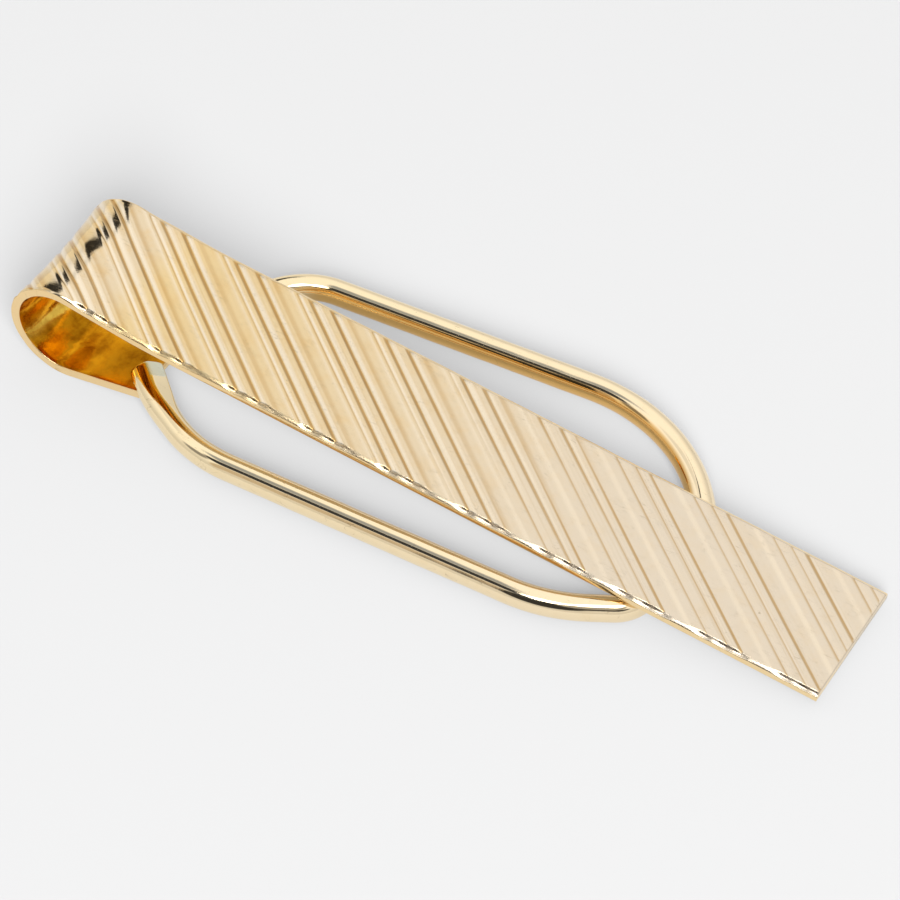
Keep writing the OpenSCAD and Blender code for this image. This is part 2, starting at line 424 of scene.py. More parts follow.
@dataclass
class Strip:
    """The one ribbed strip: tongue, bow, rise and bar. Spans are counted from the bow's start or end."""

    half_width: float
    thickness: float = 0.6
    bow_radius: float = 3.42
    rise_length: float = 5.0
    rise_slope: float = 10.7
    soft_bend_radius: float = 30.0
    bar_length: float = 45.0
    bar_slope: float = 6.0
    tongue_length: float = 5.1
    tongue_slope: float = 8.9
    rim_angles: tuple[float, ...] = (0, 12, 23, 29, 33, 37, 42, 52, 68, 90)
    rim_steps: tuple[float, ...] = (0.03, 0.04, 0.06, 0.07, 0.07, 0.05, 0.03, 0.03, 0.03)
    end_radius: float = 0.13
    end_rings: int = 6
    inner_rim_radius: float = 0.06
    inner_rim_rows: int = 3
    side_row_share: float = -0.4
    bow_bevel: float = 0.3
    bevel_change: Span = (-1.6, 1.2)
    ribs_start: Span = (-0.4, 3.2)
    bow_hollow: float = 0.24
    far_sag: float = 0.13
    sag_length: float = 1.9
    sag_side: float = 1.2
    far_wrap: float = 0.3
    wrap_loss: float = 0.6
    wrap_loss_share: float = 0.6
    blend_height: float = 3.6
    rows: int = 46
    inner_rows: int = 30
    ribs: Ribs = field(default_factory=Ribs)

    def __post_init__(self) -> None:
        """Works out the stretches of the middle surface: length, and turn in degrees per millimetre."""
        radius = self.bow_radius - self.thickness / 2
        bow_turn = 180 + self.rise_slope + self.tongue_slope
        bow_length = math.radians(bow_turn) * radius
        soft_turn = self.rise_slope - self.bar_slope
        soft_length = math.radians(soft_turn) * self.soft_bend_radius
        trim = self.soft_bend_radius * math.tan(math.radians(soft_turn / 2))
        self.stretches = np.array([
            [self.tongue_length, 0],
            [bow_length, -bow_turn / bow_length],
            [self.rise_length - trim, 0],
            [soft_length, soft_turn / soft_length],
            [self.bar_length - trim, 0],
        ])
        self.length = float(self.stretches[:, 0].sum())
        self.bow_start = self.tongue_length
        self.bow_end = float(self.stretches[:2, 0].sum())
        slope = math.radians(self.tongue_slope)
        middle = np.array([self.bow_radius, self.bow_radius])
        root = middle + radius * np.array([math.sin(slope), -math.cos(slope)])
        self.tongue_end = root + self.tongue_length * np.array([math.cos(slope), math.sin(slope)])
        rise = math.radians(self.rise_slope)
        corner_along = self.bow_radius + radius * math.sin(rise) + self.rise_length * math.cos(rise)
        bar_start_reach = corner_along / math.cos(math.radians(self.bar_slope)) + trim
        self.reach_shift = self.length - self.stretches[-1, 0] - bar_start_reach

    def middle(self, reach: np.ndarray) -> tuple[np.ndarray, np.ndarray]:
        """The strip's middle surface, seen from the side, and its outward normal.

        Each stretch is a line or an arc: from heading a, after a length t with turn k, the point has moved
        by the integral of (cos(a + kt), sin(a + kt)), and the normal is the heading turned a quarter left.

        Args:
            reach: Distances along the strip from the tongue's end.

        Returns:
            Points [along, up], and normals [along, up].
        """
        point = np.zeros(reach.shape + (2,))
        normal = np.zeros(reach.shape + (2,))
        start, place, heading = 0.0, self.tongue_end.copy(), math.radians(180 + self.tongue_slope)
        last = len(self.stretches) - 1
        for number, (span, turn) in enumerate(self.stretches):
            turn = math.radians(turn)
            inside = (reach >= start) | (number == 0)
            t = np.clip(reach - start, 0 if number else None, None if number == last else span)
            a = heading + turn * t
            end = heading + turn * span
            if turn:
                step = np.stack([np.sin(a) - math.sin(heading), math.cos(heading) - np.cos(a)], -1) / turn
                run = np.array([math.sin(end) - math.sin(heading), math.cos(heading) - math.cos(end)]) / turn
            else:
                step = np.stack([t * math.cos(heading), t * math.sin(heading)], -1)
                run = span * np.array([math.cos(heading), math.sin(heading)])
            point[inside] = (place + step)[inside]
            normal[inside] = np.stack([-np.sin(a), np.cos(a)], -1)[inside]
            start, place, heading = start + span, place + run, end
        return point, normal

    def rim(self) -> tuple[np.ndarray, np.ndarray, np.ndarray]:
        """The outer face's rim: short chords, each at a steeper angle, with a nearly flat bevel midway.

        Returns:
            How far each point lies outwards of the first and below it, and how much of the tumbled rim's
            pattern it takes in place of the face's own.
        """
        angles = np.radians((np.array(self.rim_angles)[1:] + np.array(self.rim_angles)[:-1]) / 2)
        steps = np.array(self.rim_steps)
        out = np.cumsum(steps * np.cos(angles))
        down = np.cumsum(steps * np.sin(angles))
        return out, down, smooth_step(out / out[-1], 0.0, 0.5)

    def section(self, bevel: float) -> tuple[np.ndarray, ...]:
        """The strip's cross-section, clockwise from its face's near rim: a flat sheet with bevelled rims.

        Args:
            bevel: How large the bevels are, as a share of the full ones.

        Returns:
            Places across, heights over the middle surface, the shares of the ribs' and of the rim pattern's
            depth that each point takes, and the zone of the face after each point.
        """
        half, inner = self.thickness / 2, self.inner_rim_radius
        out, down, wrap = self.rim()
        taken = wrap * (1 - self.wrap_loss * smooth_step(out / out[-1], self.wrap_loss_share, 1.0))
        out, down = out * bevel, down * bevel
        flat, wide = self.half_width - out[-1], self.half_width
        small = np.radians(np.linspace(0, 90, self.inner_rim_rows + 1)[1:])
        low_out, low_up = inner * np.cos(small), inner * np.sin(small)
        under = np.linspace(wide - inner, inner - wide, self.inner_rows)[1:]
        side_row = self.side_row_share * half
        outside, inside, edge = Zone.OUTSIDE.value, Zone.INSIDE.value, Zone.EDGE.value
        runs = (
            (np.linspace(-flat, flat, self.rows), half, 1.0, 0.0, outside),
            (flat + out, half - down, 1 - wrap, self.far_wrap * taken, np.where(wrap < 0.5, outside, edge)),
            ([wide], side_row, 0.0, 0.0, edge),
            (wide - inner + low_out, -half + inner - low_up, 0.0, 0.0, [edge] * (len(small) - 1) + [inside]),
            (under, -half, 0.0, 0.0, [inside] * (len(under) - 1) + [edge]),
            (-wide + inner - low_up, -half + inner - low_out, 0.0, 0.0, edge),
            ([-wide], side_row, 0.0, 0.0, edge),
            (-(flat + out)[::-1], (half - down)[::-1], (1 - wrap)[::-1], taken[::-1],
             [edge] * 2 + [outside] * (len(out) - 2)),
        )
        spread = [[np.broadcast_to(part, np.shape(run[0])) for part in run] for run in runs]
        return tuple(np.concatenate(column) for column in zip(*spread))

    def rings(self, rail: np.ndarray) -> tuple[np.ndarray, np.ndarray]:
        """Where the rings' points lie along the strip, and how far its face has rounded over at the ends.

        A ring at q holds the points with reach = q - side x slant, held between the two ends, and runs
        square over the rims. At each end the rings stand square, e(1 - sin) from it and e(1 - cos) down.

        Args:
            rail: Places across of a ring's points, held to the flat face.

        Returns:
            Distances along the strip, and drops, one row for each ring.
        """
        rim, slant = self.end_radius, self.ribs.slant
        spread = self.half_width * slant
        low, high = -spread - self.reach_shift, self.length + spread - self.reach_shift
        q = self.ribs.columns(low, high) + self.reach_shift
        reach = np.clip(q[:, None] - rail[None, :] * slant, rim, self.length - rim)
        turn = np.radians(np.linspace(0, 90, self.end_rings + 1))[1:, None]
        over = rim * (1 - np.cos(turn)) * np.ones_like(rail)
        ends = rim * np.sin(turn) * np.ones_like(rail)
        reach = np.concatenate([rim - ends[::-1], reach, self.length - rim + ends])
        return reach, np.concatenate([over[::-1], np.zeros((len(q), len(rail))), over])

    def surface(self) -> Sheet:
        """The whole strip as rings along the ribs' own slant, so that each groove is a line of the mesh.

        The bow is hollow like a saddle: its depth is H(1 - (side/half)^2) sin^2 of its share. Its far crest
        sags by S exp(-(t/l)^2), and the bevels grow from the bow's small ones to the full ones past it.

        Returns:
            The strip's closed surface.
        """
        side, height, share, wrap, zone = self.section(1.0)
        bow_side, bow_height, _, _, _ = self.section(self.bow_bevel)
        flat = self.half_width - self.rim()[0][-1]
        rail = np.clip(side, -flat, flat)
        reach, drop = self.rings(rail)
        rail = np.broadcast_to(rail, reach.shape)
        place = reach - self.reach_shift
        outer = smooth_step(height, -self.thickness / 2, self.thickness / 2)[None, :]
        full = smooth_step(reach - self.bow_end, *self.bevel_change)
        across = bow_side + (side - bow_side) * full
        height = bow_height + (height - bow_height) * full
        fade = smooth_step(reach - self.bow_start, *self.ribs_start)
        fade = fade * (1 - smooth_step(drop, 0.0, self.end_radius))
        pattern = share[None, :] * fade
        lift = height - drop * outer - pattern * self.ribs.depth(place, rail)
        lift = lift - wrap[None, :] * fade * self.ribs.rim_depth(place, rail)
        bow_share = np.clip((reach - self.bow_start) / (self.bow_end - self.bow_start), 0, 1)
        hollow = (1 - (across / self.half_width) ** 2) * np.sin(math.pi * bow_share) ** 2
        crest = np.exp(-(((reach - self.bow_end) / self.sag_length) ** 2))
        sag = crest * smooth_step(across, self.sag_side, self.half_width)
        lift = lift - self.bow_hollow * hollow - self.far_sag * sag
        point, normal = self.middle(reach)
        point = point + normal * lift[..., None]
        points = np.stack([point[..., 0], across, point[..., 1]], -1).reshape(-1, 3)
        count, rows = reach.shape
        edge = np.array([Zone.EDGE.value])
        # The ribs' painted shade and highlight, faded to neutral where the pattern fades.
        tone = 0.5 + pattern * (self.ribs.tone(place, rail) - 0.5)
        values = {"tone": tone.reshape(-1), "turns": self.ribs.turns(place, rail).reshape(-1)}
        zones = [np.tile(zone, count - 1), edge, edge]
        return Sheet(points, tube_faces(count, rows), zones, values).welded()

    def build(self, *finishes: Material) -> None:
        """Makes the strip, and hides the frame's bar, bow and tongue.

        Args:
            finishes: The materials of the outside, the inside and the edges.
        """
        piece = mesh_object("ribbed_strip", self.surface(), *finishes)
        slope = math.radians(self.bar_slope)
        up = np.array([math.sin(slope), 0, math.cos(slope)])
        low = np.array([self.tongue_end[0], 0, self.tongue_end[1]]) @ up + self.thickness / 2
        high = low + self.blend_height
        start, end = BENCH.metres(np.stack([up * low, up * high]))
        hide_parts("front_bar", "spring_bow", "back_tongue")
        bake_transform(piece)

    def on_tongue(self, points: np.ndarray, inverse: bool = False) -> np.ndarray:
        """Turns points between the board and the tongue's frame: its end, with up square to its inner face.

        Args:
            points: Places, one row each.
            inverse: True from the tongue's frame to the board.

        Returns:
            The turned places.
        """
        slope = math.radians(self.tongue_slope)
        along = np.array([math.cos(slope), 0, math.sin(slope)])
        up = np.array([-math.sin(slope), 0, math.cos(slope)])
        turn = np.stack([along, [0, 1, 0], up])
        base = np.array([self.tongue_end[0], 0, self.tongue_end[1]]) + up * self.thickness / 2
        return points @ turn + base if inverse else (points - base) @ turn.T


# The wire and its solder


@dataclass
class WireLoop:
    """The round wire: its corners in turn from the near end, anticlockwise from above, and its bends."""

    strip: Strip
    radius: float = 0.8
    slope: float = 0.7
    corners: tuple[Span, ...] = (
        (8.3, -2.3), (12.95, -6.6), (37.34, -6.17), (41.8, -3.79),
        (41.93, 4.26), (37.55, 10.26), (12.5, 8.55), (8.3, 2.3),
    )
    bends: tuple[float, ...] = (0.0, 8.7, 10.1, 2.1, 3.0, 11.2, 4.4, 0.0)
    tip_corner: int = 3
    facet_turn: float = 26.0
    facet_depth: float = 0.22
    facet_hold: float = 1.3
    facet_run: float = 3.4
    facet_ease: float = 0.06
    facet_corner: float = 0.03
    wash_length: float = 1.25
    wash_edge: Span = (-0.3, 0.1)
    wash_depth: Span = (0.01, 0.06)
    # Where the painted amber reflection lies: its turn round the wire, how much of the round it takes, and
    # how far from the ends it begins.
    reflection_turn: float = 8.0
    reflection_shares: Span = (0.5, 0.9)
    reflection_run: Span = (5.5, 9.0)
    spread: float = 0.5
    spread_run: Span = (1.2, 5.0)
    spread_share: float = 0.7
    unevenness: tuple[Wave, ...] = ((0.004, 0.9, 0.0), (0.003, 2.3, 1.0))
    tongue_reach: float = 3.0
    tongue_edge: Span = (-0.02, 0.25)
    tongue_lift: float = 3.0
    tongue_corner: Span = (0.02, 0.1)
    facets: int = 56
    step: float = 0.28
    bend_step: float = 3.0
    end_rounding: float = 0.16
    end_rings: int = 5

    def way_from(self, end: int, after: int) -> float:
        """The heading from one corner to another, in degrees."""
        (x, y), (to_x, to_y) = self.corners[end], self.corners[after]
        return math.degrees(math.atan2(to_y - y, to_x - x))

    def centre_line(self) -> tuple[np.ndarray, np.ndarray]:
        """The wire's middle line in plan: straight runs joined by arcs that touch both.

        Returns:
            Points [along, across], and headings in radians.
        """
        corners = np.array(self.corners)
        runs = np.diff(corners, axis=0)
        ways = np.unwrap(np.arctan2(runs[:, 1], runs[:, 0]))
        trims = np.zeros(len(corners))
        trims[1:-1] = np.array(self.bends[1:-1]) * np.tan((ways[1:] - ways[:-1]) / 2)
        points, headings = [], []
        for number, way in enumerate(ways):
            ahead = np.array([math.cos(way), math.sin(way)])
            start = corners[number] + trims[number] * ahead
            stop = corners[number + 1] - trims[number + 1] * ahead
            count = max(2, math.ceil(np.linalg.norm(stop - start) / self.step))
            share = np.linspace(0, 1, count, endpoint=False)[:, None]
            points.append(start + share * (stop - start))
            headings.append(np.full(count, way))
            if number + 1 < len(ways):
                bend, turn = self.bends[number + 1], ways[number + 1] - way
                fine = math.ceil(math.degrees(turn) / self.bend_step)
                count = max(6, math.ceil(bend * turn / self.step), fine)
                a = way + turn * np.linspace(0, 1, count, endpoint=False)
                middle = stop + bend * np.array([-math.sin(way), math.cos(way)])
                points.append(middle + bend * np.stack([np.sin(a), -np.cos(a)], -1))
                headings.append(a)
        points.append(corners[-1:])
        headings.append(ways[-1:])
        return np.concatenate(points), np.concatenate(headings)

    def stations(self) -> tuple[np.ndarray, np.ndarray, np.ndarray, np.ndarray]:
        """The places of the wire's rings, close together where its ends round over.

        Returns:
            Points [along, across] on the middle line, headings, distances along the wire, and distances from
            the nearer end.
        """
        line, heading = self.centre_line()
        gaps = np.linalg.norm(np.diff(line, axis=0), axis=1)
        run = np.concatenate([[0], np.cumsum(gaps)])
        length, rim = run[-1], self.end_rounding
        turn = np.radians(np.linspace(0, 90, self.end_rings + 1)[:-1])
        caps = np.concatenate([rim * (1 - np.cos(turn)), [rim]])
        clear = rim * 1.1
        keep = (run > clear) & (run < length - clear)
        stations = np.sort(np.concatenate([caps, run[keep], length - caps]))
        along = np.stack([np.interp(stations, run, line[:, k]) for k in range(2)], -1)
        from_end = np.minimum(stations, length - stations)
        return along, np.interp(stations, run, heading), stations, from_end

    def surface(self) -> Sheet:
        """The wire as rings of a circle along its middle line, each end hammered to an inward facet.

        A ring point that reaches past the facet's plane in the facet's direction is drawn back to it, and
        the plane moves outwards along the wire until it leaves the circle. What the hammer drew back has
        spread on the loop's outer side, where the ring is wider.

        Returns:
            The wire's closed surface.
        """
        along, way, stations, from_end = self.stations()
        inset = np.clip(1 - from_end / self.end_rounding, 0, 1)
        radius = self.radius - self.end_rounding * (1 - np.sqrt(1 - inset ** 2))
        uneven = 1.0
        for height, rate, start in self.unevenness:
            uneven = uneven + height * np.sin(rate * stations + start)
        radius = radius * uneven
        a = np.linspace(0, 2 * math.pi, self.facets, endpoint=False)
        inward, up = radius[:, None] * np.cos(a), radius[:, None] * np.sin(a)
        lean = math.radians(90 - self.facet_turn)
        reached = inward * math.cos(lean) + up * math.sin(lean)
        left_out = smooth_step(from_end, self.facet_hold, self.facet_hold + self.facet_run)
        depth = self.facet_depth * (1 - left_out)
        plane = self.radius + self.facet_ease - (depth + self.facet_ease * (depth > 0))
        cut = reached - soft_limit(reached, plane[:, None] * np.ones_like(a), self.facet_corner)
        cut = np.where(depth[:, None] > 0, cut, 0)
        inward, up = inward - cut * math.cos(lean), up - cut * math.sin(lean)
        widened = self.spread * (1 - smooth_step(from_end, *self.spread_run))[:, None]
        inward = inward * (1 + widened * smooth_step(-inward / self.radius, 0.0, self.spread_share))
        left = np.stack([-np.sin(way), np.cos(way)], -1)
        flat = along[:, None, :] + left[:, None, :] * inward[..., None]
        tip, tilt = self.corners[self.tip_corner][0], math.radians(self.slope)
        x = tip + (flat[..., 0] - tip) * math.cos(tilt) + up * math.sin(tilt)
        z = self.radius - (flat[..., 0] - tip) * math.sin(tilt) + up * math.cos(tilt)
        points = self.pressed(np.stack([x, flat[..., 1], z], -1).reshape(-1, 3))
        # Tone: the solder wash on the hammered facets, and a painted amber reflection along one flank away
        # from the ends.
        wash = (1 - smooth_step(from_end - self.wash_length, *self.wash_edge))[:, None]
        painted_reflection = smooth_step(np.cos(a - math.radians(self.reflection_turn)), *self.reflection_shares)[None, :]
        painted_reflection = painted_reflection * smooth_step(from_end, *self.reflection_run)[:, None]
        tone = 0.5 + 0.5 * wash * smooth_step(cut, *self.wash_depth) - 0.5 * painted_reflection
        faces = tube_faces(len(stations), self.facets)
        zones = [np.zeros(len(group), int) for group in faces]
        return Sheet(points, faces, zones, {"tone": tone.reshape(-1)}).welded()

    def pressed(self, points: np.ndarray) -> np.ndarray:
        """Holds the wire over the tongue's inner face where it lies on the tongue.

        Args:
            points: The wire's points on the board.

        Returns:
            The points, none of them inside the tongue.
        """
        local = self.strip.on_tongue(points)
        over_edge = smooth_step(local[:, 0], *self.tongue_edge)
        corner = self.tongue_corner[0] + self.tongue_corner[1] * over_edge
        held = -soft_limit(-local[:, 2], self.tongue_lift * over_edge, corner)
        held = np.where(local[:, 0] < self.tongue_reach, held, local[:, 2])
        return self.strip.on_tongue(np.stack([local[:, 0], local[:, 1], held], -1), inverse=True)

    def build(self, finish: Material) -> None:
        """Makes the wire loop.

        Args:
            finish: The polished wire's material.
        """
        piece = mesh_object("round_wire_loop", self.surface(), finish)
        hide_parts("wire_loop")
        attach(piece, "back")


@dataclass
class SolderBank:
    """A low bank of solder round one end of the wire: an oval mound on the tongue."""

    node: str
    side: float
    angle: float
    strip: Strip
    reach: float = 8.3
    length: float = 1.0
    half_width: float = 1.2
    height: float = 0.24
    start_share: float = 0.72
    edge_waves: tuple[Wave, ...] = ((0.05, 3, 1), (0.04, 5, 2))
    top_wave: Wave = (0.08, 4, 3)
    fullness: float = 0.8
    foot_depth: float = 0.02
    side_margin: float = 0.05
    spokes: int = 72
    rings: int = 18

    def surface(self) -> Sheet:
        """The mound as a polar grid: height H(1 - r^2)^f over an oval whose edge wanders a little.

        Returns:
            The mound's closed surface.
        """
        r = np.linspace(0, 1, self.rings)[:, None] ** self.fullness
        a = np.linspace(0, 2 * math.pi, self.spokes, endpoint=False)[None, :]
        edge = 1.0
        for height, rate, start in self.edge_waves:
            edge = edge + height * np.sin(rate * a + start * self.side)
        x = self.start_share * self.length + self.length * r * edge * np.cos(a)
        y = self.half_width * r * edge * np.sin(a)
        wave, x_rate, y_rate = self.top_wave
        uneven = 1 + wave * np.sin(x_rate * x + y_rate * y)
        z = self.height * np.clip(1 - r ** 2, 0, None) ** self.fullness * uneven
        way = math.radians(self.angle)
        start = self.reach - self.strip.tongue_end[0]
        along = np.minimum(start + x * math.cos(way) - y * math.sin(way), -self.foot_depth)
        across = self.side + x * math.sin(way) + y * math.cos(way)
        widest = self.strip.half_width - self.side_margin
        top = np.stack([along, np.clip(across, -widest, widest), z * np.ones_like(a)], -1)
        foot = top[-1] * [1, 1, 0] - [0, 0, self.foot_depth]
        local = np.concatenate([top, foot[None]]).reshape(-1, 3)
        points = self.strip.on_tongue(local, inverse=True)
        last = np.arange(self.spokes) + self.rings * self.spokes
        faces = [grid_faces(self.rings + 1, self.spokes), last[::-1][None, :]]
        return Sheet(points, faces, [np.zeros(len(group), int) for group in faces]).welded()

    def build(self, finish: Material) -> None:
        """Makes the mound.

        Args:
            finish: The solder's material.
        """
        piece = mesh_object(self.node.replace("joint", "bank"), self.surface(), finish)
        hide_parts(self.node)
        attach(piece, "back")


# Finishes


class Tree:
    """A node tree with short ways to add nodes and links."""

    def __init__(self, tree: NodeTree) -> None:
        """Keeps the tree and clears it."""
        self.tree = tree
        tree.nodes.clear()

    def feed(self, socket: Socket, value: object) -> None:
        """Links an input from a socket, or sets its constant.

        Args:
            socket: The input.
            value: A socket or a constant.
        """
        if isinstance(value, Socket):
            self.tree.links.new(value, socket)
        else:
            socket.default_value = value

    def add(self, kind: str, values: dict | None = None, **settings: object) -> bpy.types.Node:
        """Adds a node.

        Args:
            kind: The node's type.
            values: Its inputs: a constant, or a socket to link from.
            settings: Its own settings.

        Returns:
            The node.
        """
        node = self.tree.nodes.new(kind)
        for key, value in settings.items():
            setattr(node, key, value)
        for key, value in (values or {}).items():
            self.feed(node.inputs[key], value)
        return node

    def math(self, operation: str, *inputs: object, clamp: bool = False) -> Socket:
        """Adds a Math node, and gives its output."""
        values = dict(enumerate(inputs))
        return self.add("ShaderNodeMath", values, operation=operation, use_clamp=clamp).outputs[0]

    def blend(self, share: object, low: object, high: object, mode: str = "MIX") -> Socket:
        """Adds a colour Mix node, and gives the mixed colour."""
        values = {0: share, 6: low, 7: high}
        return self.add("ShaderNodeMix", values, data_type="RGBA", blend_type=mode).outputs[2]

    def ramp(self, value: object, low: float, high: float, start: float = 0.0, end: float = 1.0) -> Socket:
        """Adds a smooth Map Range node that goes from start at low to end at high, and gives its result."""
        values = {"Value": value, "From Min": low, "From Max": high, "To Min": start, "To Max": end}
        return self.add("ShaderNodeMapRange", values, interpolation_type="SMOOTHSTEP").outputs["Result"]

    def noise(self, place: object, scale: object, detail: float, rough: float = 0.5) -> Socket:
        """Adds a Noise texture, and gives its value."""
        values = {"Vector": place, "Scale": scale, "Detail": detail, "Roughness": rough}
        return self.add("ShaderNodeTexNoise", values).outputs["Fac"]


def metal_grain_group() -> NodeTree:
    """Fine grain of a worked metal face: soft stains, a fine tooth, pin-pricks and hair scratches.

    Returns:
        The group, with outputs Shade, Tooth, Marks and Height.
    """
    group = bpy.data.node_groups.new("metal_grain", "ShaderNodeTree")
    group.interface.new_socket("Place", in_out="INPUT", socket_type="NodeSocketVector")
    for key in ("Tooth", "Pits", "Scratches"):
        group.interface.new_socket(key, in_out="INPUT", socket_type="NodeSocketFloat")
    for key in ("Shade", "Tooth", "Marks", "Height"):
        group.interface.new_socket(key, in_out="OUTPUT", socket_type="NodeSocketFloat")
    tree = Tree(group)
    given = tree.add("NodeGroupInput").outputs
    place = given["Place"]
    soft = tree.noise(place, 0.8, 6.0, 0.62)
    tooth = tree.noise(place, given["Tooth"], 3.0, 0.6)
    pits = 0.0
    for scale, size, chance in ((0.55, 0.05, 0.72), (1.9, 0.07, 0.8)):
        cells = tree.add("ShaderNodeTexVoronoi", {"Vector": place, "Scale": scale, "Randomness": 1.0})
        red = tree.add("ShaderNodeSeparateColor", {0: cells.outputs["Color"]}).outputs[0]
        rag = tree.math("MULTIPLY", tree.math("SUBTRACT", tooth, 0.5), 0.08)
        hole = tree.ramp(tree.math("ADD", cells.outputs["Distance"], rag), size, 0.5 * size)
        pit = tree.math("MULTIPLY", hole, tree.math("GREATER_THAN", red, chance))
        pits = tree.math("MAXIMUM", pits, pit)
    hair = 0.0
    for turn, stretch in ((0.5, 34.0), (-0.9, 27.0), (1.7, 22.0)):
        values = {"Vector": place, "Rotation": (0, 0, turn), "Scale": (0.35, stretch * 0.12, 0.5)}
        waves = tree.noise(tree.add("ShaderNodeMapping", values).outputs[0], 1.6, 1.0, 0.4)
        thin = tree.ramp(tree.math("ABSOLUTE", tree.math("SUBTRACT", waves, 0.5)), 0.006, 0.0)
        patch = tree.ramp(tree.noise(place, 0.9 + 0.2 * turn, 1.0), 0.55, 0.68)
        hair = tree.math("MAXIMUM", hair, tree.math("MULTIPLY", thin, patch))
    pits = tree.math("MULTIPLY", pits, given["Pits"])
    hair = tree.math("MULTIPLY", hair, given["Scratches"])
    marks = tree.math("MAXIMUM", pits, hair, clamp=True)
    height = tree.math("ADD", tree.math("MULTIPLY", tooth, 0.6), tree.math("MULTIPLY", soft, 0.5))
    height = tree.math("SUBTRACT", height, tree.math("MULTIPLY", marks, 0.9))
    tree.add("NodeGroupOutput", {"Shade": soft, "Tooth": tooth, "Marks": marks, "Height": height})
    return group


